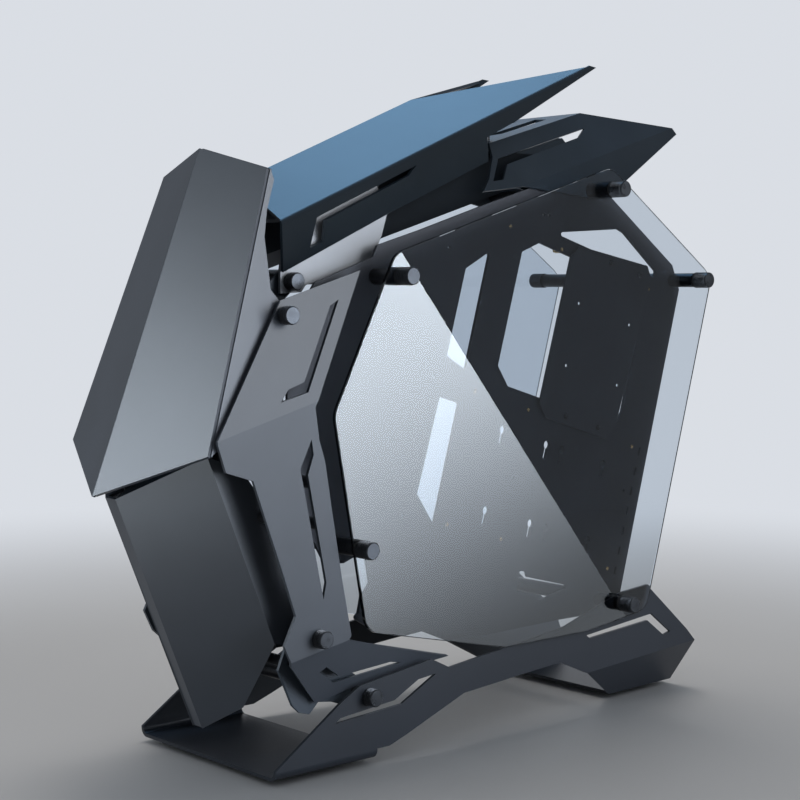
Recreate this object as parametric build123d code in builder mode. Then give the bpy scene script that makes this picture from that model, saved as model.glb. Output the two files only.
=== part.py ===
from build123d import *
from math import cos, radians, sin
import os

os.makedirs("parts", exist_ok=True)

# Open-frame tower computer case. Front towards -Y, right-hand side towards +X, +Z up.
# Origin on the floor, under the middle of the case.

# Sheet stock.
SHEET = 3.0
CARRIER_SHEET = 2.0
BRACKET_SHEET = 2.0
BEND_RADIUS = 4.0
BASE_BEND_RADIUS = 8.0
CORNER_RADIUS = 2.5
SLOT_RADIUS = 2.0
SEAT_GAP = 0.2
ROD_CLEARANCE = 0.2
STUD_CLEARANCE = 0.2

# Faces along X.
TRAY_FACE = 74.0
GLASS_FACE = 107.0
GLASS_THICKNESS = 4.0
SIDE_FACE = 105.0
SIDE_TOP_X = 90.0
SIDE_FOOT_X = 88.0
FOOT_FACE = 100.0
FOOT_BASE_X = 77.0
TAB_FACE = 60.0
COVER_FOLD_X = 76.0
COVER_FLANGE_X = 64.0
WING_FOLD_X = 77.2
WING_TOP_X = 60.0
PANEL_FLANGE_FACE = 78.0
LINK_FACE = 83.5
FAN_BRACKET_FACE = 66.0
ROD_LINK_FACE = 53.0

# Fixings.
POST_DIAMETER = 14.0
KNOB_DIAMETER = 15.0
GLASS_KNOB_LENGTH = 16.0
FRAME_KNOB_LENGTH = 10.5
KNOB_CHAMFER = 0.8
WASHER_DIAMETER = 15.6
WASHER_THICKNESS = 1.0
STUD_DIAMETER = 5.0
STUD_REACH = 8.0
STUD_BORE_DEPTH = 10.0
SPACER_DIAMETER = 10.0

# Board frame.
BODY_TILT = 16.5
BOARD_Y = 292.0
BOARD_Z = 402.0
BOARD_HOLE_DIAMETER = 4.0
BOARD_STANDOFF_HEIGHT = 6.5
BOARD_STANDOFF_WIDTH = 6.0
BOARD_THREAD_DIAMETER = 2.6
# Hole columns (towards the front) and rows (downwards) of a full-size board.
BOARD_HOLES = [
    (-22.86, 0.0),
    (-154.94, 0.0),
    (-227.33, 0.0),
    (0.0, -157.48),
    (-154.94, -157.48),
    (-227.33, -157.48),
    (0.0, -281.94),
    (-154.94, -281.94),
    (-227.33, -281.94),
]
# Posts that carry the glass: front top, rear top, rear, front bottom, rear bottom.
GLASS_FIXINGS = [(-371.0, -91.5), (-136.0, 65.0), (10.5, 19.0), (-349.0, -324.0), (-4.5, -313.0)]
REAR_TOP_FIXING = GLASS_FIXINGS[1]
REAR_BOTTOM_FIXING = GLASS_FIXINGS[4]

TRAY_OUTLINE = [
    (-376.0, -65.0),
    (-332.0, -37.0),
    (-260.0, 11.0),
    (-218.0, 38.0),
    (-204.0, 48.0),
    (-112.0, 82.0),
    (-101.5, 69.0),
    (6.0, 33.5),
    (23.5, 13.0),
    (26.0, -302.0),
    (16.0, -322.0),
    (-54.0, -342.0),
    (-157.0, -374.0),
    (-296.0, -386.0),
    (-311.0, -382.0),
    (-307.0, -377.0),
    (-308.0, -361.0),
    (-303.0, -349.0),
    (-314.0, -328.0),
    (-319.0, -326.0),
    (-336.0, -338.0),
    (-356.0, -342.0),
    (-372.0, -327.0),
    (-393.0, -315.0),
    (-421.0, -258.0),
    (-435.6, -212.5),
    (-434.5, -181.0),
    (-438.6, -132.0),
    (-433.0, -115.5),
    (-378.0, -76.5),
]
CPU_OPENING = [
    (-186.0, -3.0),
    (-31.0, -3.0),
    (-25.0, -22.0),
    (-25.0, -128.0),
    (-31.0, -143.0),
    (-188.0, -143.0),
    (-206.0, -128.0),
    (-206.0, -18.0),
]
TOP_OPENING = [(-170.0, 12.0), (-84.0, 43.0), (-74.0, 42.0), (-17.0, 20.0), (-18.0, 13.0)]
UPPER_CABLE_SLOT = [(-246.0, -30.0), (-271.0, -54.0), (-271.0, -136.0), (-245.0, -142.0)]
LOWER_CABLE_SLOT = [(-269.0, -173.0), (-244.0, -173.0), (-243.0, -286.0), (-271.0, -263.0)]
REAR_CABLE_SLOT = [
    (-122.0, -306.0),
    (-113.0, -305.5),
    (-110.0, -310.0),
    (-54.0, -308.0),
    (-54.0, -312.0),
    (-88.0, -329.0),
    (-99.0, -325.5),
    (-121.0, -326.0),
]
# Keyholes for two 2.5 inch drives: head end at the top, slot end below.
KEYHOLE_COLUMNS = (-182.5, -120.78, -99.5, -37.78)
KEYHOLE_ROWS = (-183.5, -260.1)
KEYHOLE_HEAD_DIAMETER = 8.0
KEYHOLE_SLOT_WIDTH = 4.0
KEYHOLE_DROP = 12.0
TRAY_SMALL_HOLES = [
    (-340.0, -182.0),
    (-280.6, -157.0),
    (-156.0, -223.0),
    (-281.6, -285.0),
    (-188.0, 24.0),
    (-181.0, 26.0),
    (-296.0, -42.0),
    (0.8, -202.5),
]
SMALL_HOLE_DIAMETER = 3.4
TAB_SLOT_WIDTH = 2.5
TAB_SLOT_HEIGHT = 8.0
TAB_SLOT_SETBACK = 3.0

# Drive plate.
DRIVE_PLATE_THICKNESS = 1.5
DRIVE_PLATE_GAP = 3.0
DRIVE_PLATE_OUTLINE = [
    (-137.0, 9.0),
    (-146.0, -4.0),
    (-147.0, -149.0),
    (-134.0, -160.0),
    (-44.5, -160.0),
    (-35.0, -141.0),
    (-27.0, 10.0),
    (-36.0, 20.0),
]
DRIVE_SPACER_POINTS = [(-89.0, 7.0), (-45.0, 8.0), (-108.0, -152.0), (-60.0, -152.0)]
DRIVE_HOLE_PITCH_P = 76.6
DRIVE_HOLE_PITCH_Q = 61.72
DRIVE_HOLE_CENTRE = (-83.0, -74.5)
DRIVE_HOLE_DIAMETER = 3.4
DRIVE_SPACER_DIAMETER = 8.0

# Glass outline (Y, Z).
GLASS_OUTLINE = [
    (-162.5, 305.0),
    (-94.5, 439.0),
    (179.0, 524.0),
    (332.6, 421.5),
    (236.0, 92.0),
    (150.5, 82.0),
    (38.0, 82.0),
    (-127.5, 118.5),
]
GLASS_CORNER_RADIUS = 20.0
GLASS_EDGE_CHAMFER = 0.6

# Frame fixings (Y, Z).
TAB_FIXING = (-171.5, 415.0)
UPPER_SIDE_FIXING = (-203.0, 387.5)
LOWER_SIDE_FIXING = (-178.0, 120.0)
FOOT_FIXING = (-119.5, 61.0)

# Upper front panel.
RIDGE_TOP = (0.0, -221.0, 527.0)
EDGE_TOP = (75.4, -207.0, 507.0)
EDGE_BOTTOM = (101.4, -286.0, 278.0)
RIDGE_BOTTOM = (0.0, -329.3, 241.0)
CARRIER_RIM = 22.0
CARRIER_FLANGE_X = 83.5
CARRIER_FLANGE_REAR = [
    (-200.0, 498.0),
    (-210.0, 472.0),
    (-214.0, 451.0),
    (-210.0, 408.0),
    (-202.0, 400.0),
    (-186.0, 396.0),
    (-188.0, 374.0),
    (-262.0, 288.0),
]

# Lower front panel.
NOSE_TOP = (7.5, -312.0, 238.0)
NOSE_BOTTOM = (6.0, -226.5, 34.0)
LOWER_EDGE_TOP = (-270.0, 275.0)
LOWER_EDGE_BOTTOM = (-203.5, 114.5)
LOWER_CHIN = [(69.0, -204.5, 99.6), (41.0, -209.0, 55.3)]
LOWER_FLANGE_REAR = [
    (-166.0, 108.0),
    (-166.0, 132.0),
    (-184.0, 152.0),
    (-205.0, 222.0),
    (-236.0, 262.0),
]
LOWER_LIP_DEPTH = 16.0
LOWER_LIP_MITRE = 5.0
LOWER_LIP_RELIEF = 1.0
PANEL_SPACER = (-216.0, 222.0)

# Side plates (Y, Z).
SIDE_BEND_TOP = [(-279.0, 289.5), (-178.0, 317.0)]
SIDE_FLAT = [
    (-178.0, 317.0),
    (-181.0, 312.0),
    (-177.0, 285.0),
    (-171.0, 267.0),
    (-163.5, 224.0),
    (-153.0, 166.0),
    (-143.0, 117.5),
    (-146.4, 114.0),
    (-207.0, 103.5),
    (-214.0, 118.0),
    (-202.0, 141.5),
    (-213.0, 172.5),
    (-244.5, 256.0),
    (-271.0, 264.5),
    (-278.5, 286.0),
    (-279.0, 289.5),
]
SIDE_UPPER = [(-279.0, 289.5), (-178.0, 317.0), (-120.0, 424.5), (-205.0, 399.6)]
SIDE_BEND_FOOT = [(-207.0, 103.5), (-146.4, 114.0)]
SIDE_ARM = [
    (-207.0, 103.5),
    (-146.4, 114.0),
    (-119.5, 106.2),
    (-36.0, 84.2),
    (-12.0, 78.0),
    (-84.0, 73.3),
    (-122.7, 68.5),
    (-169.0, 61.0),
    (-205.7, 99.0),
]
SIDE_UPPER_SLOT = [
    (-146.0, 400.0),
    (-155.5, 395.0),
    (-190.0, 333.0),
    (-206.5, 327.5),
    (-215.0, 317.5),
    (-187.0, 324.5),
]
SIDE_MIDDLE_SLOT = [
    (-185.0, 286.0),
    (-183.0, 273.0),
    (-189.0, 257.0),
    (-170.0, 166.0),
    (-173.0, 152.0),
    (-178.0, 174.0),
    (-191.0, 236.0),
    (-197.0, 262.0),
]
SIDE_ARM_SLOT = [
    (-165.0, 93.0),
    (-172.0, 89.5),
    (-152.5, 76.6),
    (-74.5, 82.0),
    (-87.5, 84.8),
    (-147.0, 81.6),
]
TRAY_SPACER_POINTS = [(-171.0, 214.0), (-177.3, 249.0)]

# Base frame (Y, Z).
BASE_UNDERSIDE = 5.0
FOOT_WALL = [
    (-220.0, 14.0),
    (-151.0, 60.0),
    (-130.0, 71.5),
    (-47.0, 82.5),
    (-41.0, 80.0),
    (-25.0, 72.0),
    (44.0, 79.5),
    (123.0, 89.0),
    (201.0, 112.0),
    (243.0, 115.5),
    (251.0, 109.0),
    (307.0, 62.0),
    (320.0, 49.0),
    (157.0, 39.0),
    (119.0, 55.0),
    (73.0, 52.0),
    (-7.0, 46.0),
    (-75.0, 21.0),
    (-96.0, 14.0),
]
FRONT_BAND_TOP = 14.0
FRONT_BASE_Y = (-220.0, -110.0)
REAR_FACE_FRONT = (157.0, 39.0)
REAR_FACE_REAR = (320.0, 49.0)
REAR_BASE_FRONT_Y = 214.0
REAR_BASE_REAR_Y = 314.0
FOOT_FRONT_SLOT = [
    (-157.5, 43.5),
    (-151.0, 47.5),
    (-90.5, 53.0),
    (-62.5, 67.0),
    (-41.0, 69.0),
    (-81.7, 48.3),
]
FOOT_REAR_SLOT = [
    (155.4, 76.0),
    (251.3, 85.0),
    (280.7, 63.0),
    (270.3, 60.7),
    (245.3, 78.8),
    (160.6, 72.4),
]
PAD_DIAMETER = 18.0
PAD_POINTS = [(66.0, -190.0), (66.0, -140.0), (45.0, 244.0), (45.0, 292.0)]

# Top cover.
COVER_RIDGE_FRONT = (0.0, -181.0, 500.7)
COVER_NOTCH = (0.0, 18.0, 584.6)
COVER_FOLD_FRONT = (COVER_FOLD_X, -192.3, 464.4)
COVER_FOLD_REAR = (COVER_FOLD_X, 182.5, 622.4)
COVER_FLANGE_FRONT = (COVER_FLANGE_X, -182.0, 422.6)
COVER_FLANGE_EDGE = [
    (74.8, 191.0, 621.6),
    (71.5, 86.7, 564.8),
    (71.1, 48.3, 546.9),
    (64.8, 55.8, 525.8),
    (64.8, -52.4, 480.4),
    (64.8, -69.9, 472.9),
]
COVER_SLOT = [
    (-153.0, 468.7),
    (-155.5, 443.3),
    (-141.0, 449.0),
    (-142.5, 466.5),
    (-49.0, 507.7),
    (-41.0, 517.2),
]

# Top bracket.
TAB_OUTLINE = [
    (-182.0, 405.0),
    (-160.0, 406.0),
    (-155.0, 412.0),
    (-84.0, 434.0),
    (-79.0, 437.5),
    (-70.0, 456.0),
    (-64.0, 474.0),
    (-80.0, 508.0),
    (-176.0, 467.5),
    (-182.0, 424.0),
]
BRACKET_WEB_Y = (-176.0, -80.0)
BRACKET_WEB_Z = (467.5, 508.0)

# Rails under the top cover (Y, Z).
RAIL_OUTLINE = [
    (-112.0, 439.6),
    (100.0, 504.4),
    (170.0, 490.0),
    (192.0, 490.0),
    (194.0, 516.0),
    (160.0, 536.0),
    (56.0, 536.0),
    (40.0, 553.0),
    (-72.0, 510.0),
    (-74.0, 484.0),
    (-112.0, 468.0),
]

# Rear wing.
WING_FOLD_FRONT = (88.3, 503.7)
WING_FOLD_REAR = (303.0, 570.4)
WING_TIP = (310.0, 564.6)
WING_LOWER = [(234.0, 515.0), (214.0, 497.5), (183.0, 496.3)]
WING_TOP_FRONT = (62.0, 543.1)
WING_FRONT_EDGE = [(62.0, 530.0), (51.0, 509.0)]
WING_TOP_REAR = (184.6, 578.9)
WING_FRONT_FOOT = (41.0, 497.5)
WING_SLOT = [
    (185.0, 564.0),
    (174.0, 554.3),
    (77.0, 524.0),
    (68.0, 509.5),
    (55.0, 507.2),
    (68.0, 529.0),
]
WING_TOP_OPENING = [(12.0, 100.0), (30.0, 108.0), (33.0, 166.0), (12.0, 172.0)]

# Inner brackets.
FAN_WEB = [(-186.0, 384.0), (-186.0, 290.0), (-158.0, 108.0)]
FAN_FLANGE_FRONT = [(-192.0, 108.0), (-219.0, 290.0), (-214.0, 400.0), (-192.0, 400.0)]
FAN_OPENING_DIAMETER = 114.0
FAN_HOLE_PITCH = 105.0
FAN_HOLE_DIAMETER = 4.4
FAN_UPPER_OPENING_DIAMETER = 102.0
FAN_UPPER_OPENING_BELOW_TOP = 62.0
LINK_OUTLINE = [
    (-204.0, 93.0),
    (-197.0, 77.5),
    (-189.5, 61.0),
    (-182.0, 54.0),
    (-171.5, 51.0),
    (-162.0, 60.0),
    (-148.0, 58.0),
    (-126.0, 50.0),
    (-112.0, 50.5),
    (-108.0, 60.0),
    (-111.0, 71.0),
    (-150.0, 96.0),
    (-163.0, 130.0),
    (-186.0, 133.0),
    (-196.0, 112.0),
]
ROD_LINK_RIM = 3.5
STAY_BAR_DIAMETER = 9.0
STAY_BAR_POINT = (-192.0, 98.0)
PSU_PLATE_Q = -300.0
PSU_PLATE_P = (-376.0, -286.0)
PSU_PLATE_WIDTH = 152.0
PSU_FLANGE_HEIGHT = 20.0
# The supply's own holes: three corners and one that is a step further in.
PSU_EDGE_TO_OPENING = (14.0, 13.0)
PSU_EDGE_TO_HOLE = (8.0, 7.0)
PSU_HOLE_STEP = 10.0
PSU_HOLE_DIAMETER = 4.0
PSU_POST_CLEARANCE = 2.0
SLOT_PITCH = 20.32
SLOT_COUNT = 7
SLOT_FIRST_Q = -160.0
SLOT_PLATE_P = 15.0
SLOT_PLATE_WIDTH = 118.0
SLOT_PLATE_END = 15.24
SLOT_FOOT_WIDTH = 16.0
SLOT_OPENING = (13.0, 88.0)
SLOT_OPENING_START = 18.0
SLOT_COVER_THICKNESS = 1.0
SLOT_COVER_SIZE = (18.4, 108.0)
COVER_POST_DIAMETER = 8.0
COVER_POST_POINT = (42.0, 74.0)


def point(values):
    """A corner as a vector."""
    return Vector(*values)


def facet_plane(a, b, c, outside):
    """The plane of a facet through three corners, facing the point outside."""
    a, b, c = point(a), point(b), point(c)
    normal = (b - a).cross(c - a).normalized()
    if normal.dot(point(outside) - a) < 0:
        normal = normal * -1
    return Plane(origin=a, x_dir=b - a, z_dir=normal)


def local(plane, corners):
    """Corners in space as points of a facet's own plane."""
    placed = [plane.to_local_coords(point(corner)) for corner in corners]
    return [(corner.X, corner.Y) for corner in placed]


def lifted(plane, outline):
    """(Y, Z) corners carried along X onto a facet."""
    o, n = plane.origin, plane.z_dir
    return [(o.X - (n.Y * (y - o.Y) + n.Z * (z - o.Z)) / n.X, y, z) for y, z in outline]


def set_back(plane, corner):
    """A corner moved along Y onto a plane."""
    o, n = plane.origin, plane.z_dir
    x, _, z = corner
    return (x, o.Y - (n.X * (x - o.X) + n.Z * (z - o.Z)) / n.Y, z)


def face_on(plane, corners, radius=CORNER_RADIUS):
    """A flat blank on a plane, its corners rounded."""
    with BuildSketch(plane) as blank:
        Polygon(*corners, align=None)
        if radius > 0:
            fillet(blank.vertices(), radius)
    return blank.sketch


def along(edges, a, b, reach=0.2):
    """The edges that lie on the line from a to b."""
    line = Edge.make_line(point(a), point(b))
    return [
        edge
        for edge in edges
        if line.distance_to(edge @ 0) < reach and line.distance_to(edge @ 1) < reach
    ]


def body_plane(x):
    """The tilted plane of the board at a given X: p to the rear, q upwards."""
    tilt = radians(BODY_TILT)
    return Plane(origin=(x, BOARD_Y, BOARD_Z), x_dir=(0, cos(tilt), -sin(tilt)), z_dir=(1, 0, 0))


def side_plane(x):
    """The upright plane at a given X: local x along Y, local y along Z."""
    return Plane.YZ.offset(x)


OUT_RIGHT = (400.0, 0.0, 300.0)
OUT_FRONT = (0.0, -900.0, 300.0)
OUT_TOP = (0.0, 0.0, 2000.0)
THROUGH = 400.0
STUD_HOLE = STUD_DIAMETER + 2 * STUD_CLEARANCE
ROD_HOLE = POST_DIAMETER + 2 * ROD_CLEARANCE
GLASS_INNER = GLASS_FACE - GLASS_THICKNESS
TRAY_BACK = TRAY_FACE - SHEET
SIDE_INNER = SIDE_FACE - SHEET
FOOT_INNER = FOOT_FACE - SHEET
TAB_INNER = TAB_FACE - SHEET
RAIL_FACE = TAB_INNER - SEAT_GAP
INWARD = (-1, 0, 0)
FAN_CUT_REACH = 4 * BRACKET_SHEET

# Motherboard tray.
tray_plane = body_plane(TRAY_FACE)
with BuildPart() as motherboard_tray:
    extrude(face_on(tray_plane, TRAY_OUTLINE), amount=SHEET, dir=INWARD)
    for opening in (CPU_OPENING, TOP_OPENING, UPPER_CABLE_SLOT, LOWER_CABLE_SLOT, REAR_CABLE_SLOT):
        cut = face_on(tray_plane, opening, SLOT_RADIUS)
        extrude(cut, amount=SHEET, dir=INWARD, mode=Mode.SUBTRACT)
    with BuildSketch(tray_plane):
        with Locations(*BOARD_HOLES):
            Circle(BOARD_HOLE_DIAMETER / 2)
        with Locations(*TRAY_SMALL_HOLES):
            Circle(SMALL_HOLE_DIAMETER / 2)
        with Locations(*GLASS_FIXINGS):
            Circle(STUD_HOLE / 2)
        for column in KEYHOLE_COLUMNS:
            for row in KEYHOLE_ROWS:
                with Locations((column, row)):
                    Circle(KEYHOLE_HEAD_DIAMETER / 2)
                with Locations((column, row - KEYHOLE_DROP / 2)):
                    Rectangle(KEYHOLE_SLOT_WIDTH, KEYHOLE_DROP)
                with Locations((column, row - KEYHOLE_DROP)):
                    Circle(KEYHOLE_SLOT_WIDTH / 2)
        with Locations(*DRIVE_SPACER_POINTS):
            Circle(SMALL_HOLE_DIAMETER / 2)
        for index in range(SLOT_COUNT):
            with Locations((SLOT_PLATE_P - TAB_SLOT_SETBACK, SLOT_FIRST_Q - index * SLOT_PITCH)):
                Rectangle(TAB_SLOT_WIDTH, TAB_SLOT_HEIGHT)
    extrude(amount=-SHEET, mode=Mode.SUBTRACT)
    with BuildSketch(side_plane(TRAY_FACE)):
        with Locations(*TRAY_SPACER_POINTS):
            Circle(SMALL_HOLE_DIAMETER / 2)
    extrude(amount=-SHEET, mode=Mode.SUBTRACT)
motherboard_tray.part.label = "motherboard_tray"
export_step(motherboard_tray.part, "parts/motherboard_tray.step")

# Drive plate and its spacers.
DRIVE_PLATE_FACE = TRAY_FACE + DRIVE_PLATE_GAP + DRIVE_PLATE_THICKNESS
with BuildPart() as drive_plate:
    blank = face_on(body_plane(DRIVE_PLATE_FACE), DRIVE_PLATE_OUTLINE)
    extrude(blank, amount=DRIVE_PLATE_THICKNESS, dir=INWARD)
    with BuildSketch(body_plane(DRIVE_PLATE_FACE)):
        with Locations(DRIVE_HOLE_CENTRE):
            with GridLocations(DRIVE_HOLE_PITCH_P, DRIVE_HOLE_PITCH_Q, 2, 2):
                Circle(DRIVE_HOLE_DIAMETER / 2)
        with Locations(*DRIVE_SPACER_POINTS):
            Circle(SMALL_HOLE_DIAMETER / 2)
    extrude(amount=-DRIVE_PLATE_THICKNESS, mode=Mode.SUBTRACT)
drive_plate.part.label = "drive_plate"
export_step(drive_plate.part, "parts/drive_plate.step")

with BuildPart() as drive_plate_spacers:
    with BuildSketch(body_plane(TRAY_FACE)):
        with Locations(*DRIVE_SPACER_POINTS):
            Circle(DRIVE_SPACER_DIAMETER / 2)
            Circle(SMALL_HOLE_DIAMETER / 2, mode=Mode.SUBTRACT)
    extrude(amount=DRIVE_PLATE_GAP)
drive_plate_spacers.part.label = "drive_plate_spacers"
export_step(drive_plate_spacers.part, "parts/drive_plate_spacers.step")

# Side glass.
with BuildPart() as right_glass:
    blank = face_on(side_plane(GLASS_INNER), GLASS_OUTLINE, 0)
    extrude(blank, amount=GLASS_THICKNESS, dir=(1, 0, 0))
    fillet(right_glass.edges().filter_by(Axis.X), GLASS_CORNER_RADIUS)
    outer = right_glass.faces().filter_by(Plane.YZ)
    chamfer(outer.edges(), GLASS_EDGE_CHAMFER)
    with BuildSketch(body_plane(GLASS_INNER)):
        with Locations(*GLASS_FIXINGS):
            Circle(STUD_HOLE / 2)
    extrude(amount=GLASS_THICKNESS, mode=Mode.SUBTRACT)
right_glass.part.label = "right_glass"
export_step(right_glass.part, "parts/right_glass.step")

with BuildPart() as left_glass:
    mirror(right_glass.part, about=Plane.YZ)
left_glass.part.label = "left_glass"
export_step(left_glass.part, "parts/left_glass.step")

# Glass posts, washers and knobs.
with BuildPart() as right_glass_posts:
    with BuildSketch(body_plane(TRAY_FACE)):
        with Locations(*GLASS_FIXINGS):
            Circle(POST_DIAMETER / 2)
    extrude(amount=GLASS_INNER - TRAY_FACE)
    with BuildSketch(body_plane(GLASS_INNER)):
        with Locations(*GLASS_FIXINGS):
            Circle(STUD_HOLE / 2)
    extrude(amount=-STUD_BORE_DEPTH, mode=Mode.SUBTRACT)
right_glass_posts.part.label = "right_glass_posts"
export_step(right_glass_posts.part, "parts/right_glass_posts.step")

with BuildPart() as left_glass_posts:
    with BuildSketch(body_plane(-GLASS_INNER)):
        with Locations(*GLASS_FIXINGS):
            Circle(POST_DIAMETER / 2)
    extrude(amount=TRAY_BACK + GLASS_INNER)
    with BuildSketch(body_plane(-GLASS_INNER)):
        with Locations(*GLASS_FIXINGS):
            Circle(STUD_HOLE / 2)
    extrude(amount=STUD_BORE_DEPTH, mode=Mode.SUBTRACT)
left_glass_posts.part.label = "left_glass_posts"
export_step(left_glass_posts.part, "parts/left_glass_posts.step")

with BuildPart() as glass_washers:
    with BuildSketch(body_plane(GLASS_FACE)):
        with Locations(*GLASS_FIXINGS):
            Circle(WASHER_DIAMETER / 2)
            Circle(STUD_HOLE / 2, mode=Mode.SUBTRACT)
    extrude(amount=WASHER_THICKNESS)
    mirror(about=Plane.YZ)
glass_washers.part.label = "glass_washers"
export_step(glass_washers.part, "parts/glass_washers.step")

with BuildPart() as glass_knobs:
    with BuildSketch(body_plane(GLASS_FACE + WASHER_THICKNESS)):
        with Locations(*GLASS_FIXINGS):
            Circle(KNOB_DIAMETER / 2)
    extrude(amount=GLASS_KNOB_LENGTH)
    rims = glass_knobs.edges().filter_by(GeomType.CIRCLE).group_by(Axis.X)
    chamfer(rims[-1], KNOB_CHAMFER)
    with BuildSketch(body_plane(GLASS_FACE + WASHER_THICKNESS)):
        with Locations(*GLASS_FIXINGS):
            Circle(STUD_DIAMETER / 2)
    extrude(amount=-(WASHER_THICKNESS + GLASS_THICKNESS + STUD_REACH))
    mirror(about=Plane.YZ)
glass_knobs.part.label = "glass_knobs"
export_step(glass_knobs.part, "parts/glass_knobs.step")

# Side plates.
upper_plane = facet_plane(
    (SIDE_FACE, *SIDE_BEND_TOP[0]),
    (SIDE_FACE, *SIDE_BEND_TOP[1]),
    (SIDE_TOP_X, *SIDE_UPPER[3]),
    OUT_RIGHT,
)
arm_plane = facet_plane(
    (SIDE_FACE, *SIDE_BEND_FOOT[0]),
    (SIDE_FACE, *SIDE_BEND_FOOT[1]),
    (SIDE_FOOT_X, *SIDE_ARM[7]),
    OUT_RIGHT,
)
with BuildPart() as right_side_plate:
    extrude(face_on(side_plane(SIDE_FACE), SIDE_FLAT, 0), amount=SHEET, dir=INWARD)
    for plane, outline in ((upper_plane, SIDE_UPPER), (arm_plane, SIDE_ARM)):
        blank = face_on(plane, local(plane, lifted(plane, outline)), 0)
        extrude(blank, amount=SHEET, dir=plane.z_dir * -1)
    for line in (SIDE_BEND_TOP, SIDE_BEND_FOOT):
        fold = along(right_side_plate.edges(), (SIDE_FACE, *line[0]), (SIDE_FACE, *line[1]))
        fillet(fold, BEND_RADIUS)
    for slot in (SIDE_UPPER_SLOT, SIDE_MIDDLE_SLOT, SIDE_ARM_SLOT):
        cut = face_on(side_plane(SIDE_FACE), slot, 0)
        extrude(cut, amount=THROUGH, both=True, dir=INWARD, mode=Mode.SUBTRACT)
    with BuildSketch(side_plane(0)):
        with Locations(PANEL_SPACER, *TRAY_SPACER_POINTS):
            Circle(SMALL_HOLE_DIAMETER / 2)
    extrude(amount=SIDE_INNER + SHEET / 2, mode=Mode.SUBTRACT)
    with BuildSketch(side_plane(0)):
        with Locations(UPPER_SIDE_FIXING, LOWER_SIDE_FIXING):
            Circle(STUD_HOLE / 2)
    extrude(amount=THROUGH, mode=Mode.SUBTRACT)
right_side_plate.part.label = "right_side_plate"
export_step(right_side_plate.part, "parts/right_side_plate.step")

with BuildPart() as left_side_plate:
    mirror(right_side_plate.part, about=Plane.YZ)
left_side_plate.part.label = "left_side_plate"
export_step(left_side_plate.part, "parts/left_side_plate.step")

# Upper front panel.
panel_plane = facet_plane(RIDGE_TOP, EDGE_TOP, RIDGE_BOTTOM, OUT_FRONT)
with BuildPart() as upper_front_panel:
    corners = local(panel_plane, [RIDGE_TOP, EDGE_TOP, EDGE_BOTTOM, RIDGE_BOTTOM])
    extrude(face_on(panel_plane, corners, 0), amount=SHEET, dir=panel_plane.z_dir * -1)
    mirror(about=Plane.YZ)
    ridge = along(upper_front_panel.edges(), RIDGE_TOP, RIDGE_BOTTOM)
    fillet(ridge, BEND_RADIUS)
upper_front_panel.part.label = "upper_front_panel"
export_step(upper_front_panel.part, "parts/upper_front_panel.step")

# Carrier behind the upper panel.
carrier_plane = panel_plane.offset(-(SHEET + SEAT_GAP))
carrier_top, carrier_bottom, carrier_ridge_bottom, carrier_ridge_top = [
    set_back(carrier_plane, corner) for corner in (EDGE_TOP, EDGE_BOTTOM, RIDGE_BOTTOM, RIDGE_TOP)
]
flange_plane = facet_plane(
    carrier_top, carrier_bottom, (CARRIER_FLANGE_X, *CARRIER_FLANGE_REAR[4]), OUT_RIGHT
)
with BuildPart() as panel_carrier:
    inner = [carrier_ridge_top, carrier_top, carrier_bottom, carrier_ridge_bottom]
    with BuildSketch(carrier_plane) as rim:
        Polygon(*local(carrier_plane, inner), align=None)
        offset(amount=-CARRIER_RIM, kind=Kind.INTERSECTION, mode=Mode.SUBTRACT)
    extrude(amount=-CARRIER_SHEET)
    flange = [carrier_bottom, carrier_top, *lifted(flange_plane, CARRIER_FLANGE_REAR)]
    blank = face_on(flange_plane, local(flange_plane, flange), 0)
    extrude(blank, amount=CARRIER_SHEET, dir=flange_plane.z_dir * -1)
    with BuildSketch(side_plane(0)):
        with Locations(UPPER_SIDE_FIXING):
            Circle(ROD_HOLE / 2)
    extrude(amount=THROUGH, mode=Mode.SUBTRACT)
    mirror(about=Plane.YZ)
panel_carrier.part.label = "panel_carrier"
export_step(panel_carrier.part, "parts/panel_carrier.step")

# Lower front panel.
edge_top = (PANEL_FLANGE_FACE, *LOWER_EDGE_TOP)
edge_bottom = (PANEL_FLANGE_FACE, *LOWER_EDGE_BOTTOM)
cheek_plane = facet_plane(NOSE_TOP, edge_top, edge_bottom, OUT_FRONT)
nose_mirror = (-NOSE_TOP[0], *NOSE_TOP[1:])
nose_foot_mirror = (-NOSE_BOTTOM[0], *NOSE_BOTTOM[1:])
nose_plane = facet_plane(NOSE_TOP, nose_mirror, NOSE_BOTTOM, OUT_FRONT)
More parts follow.
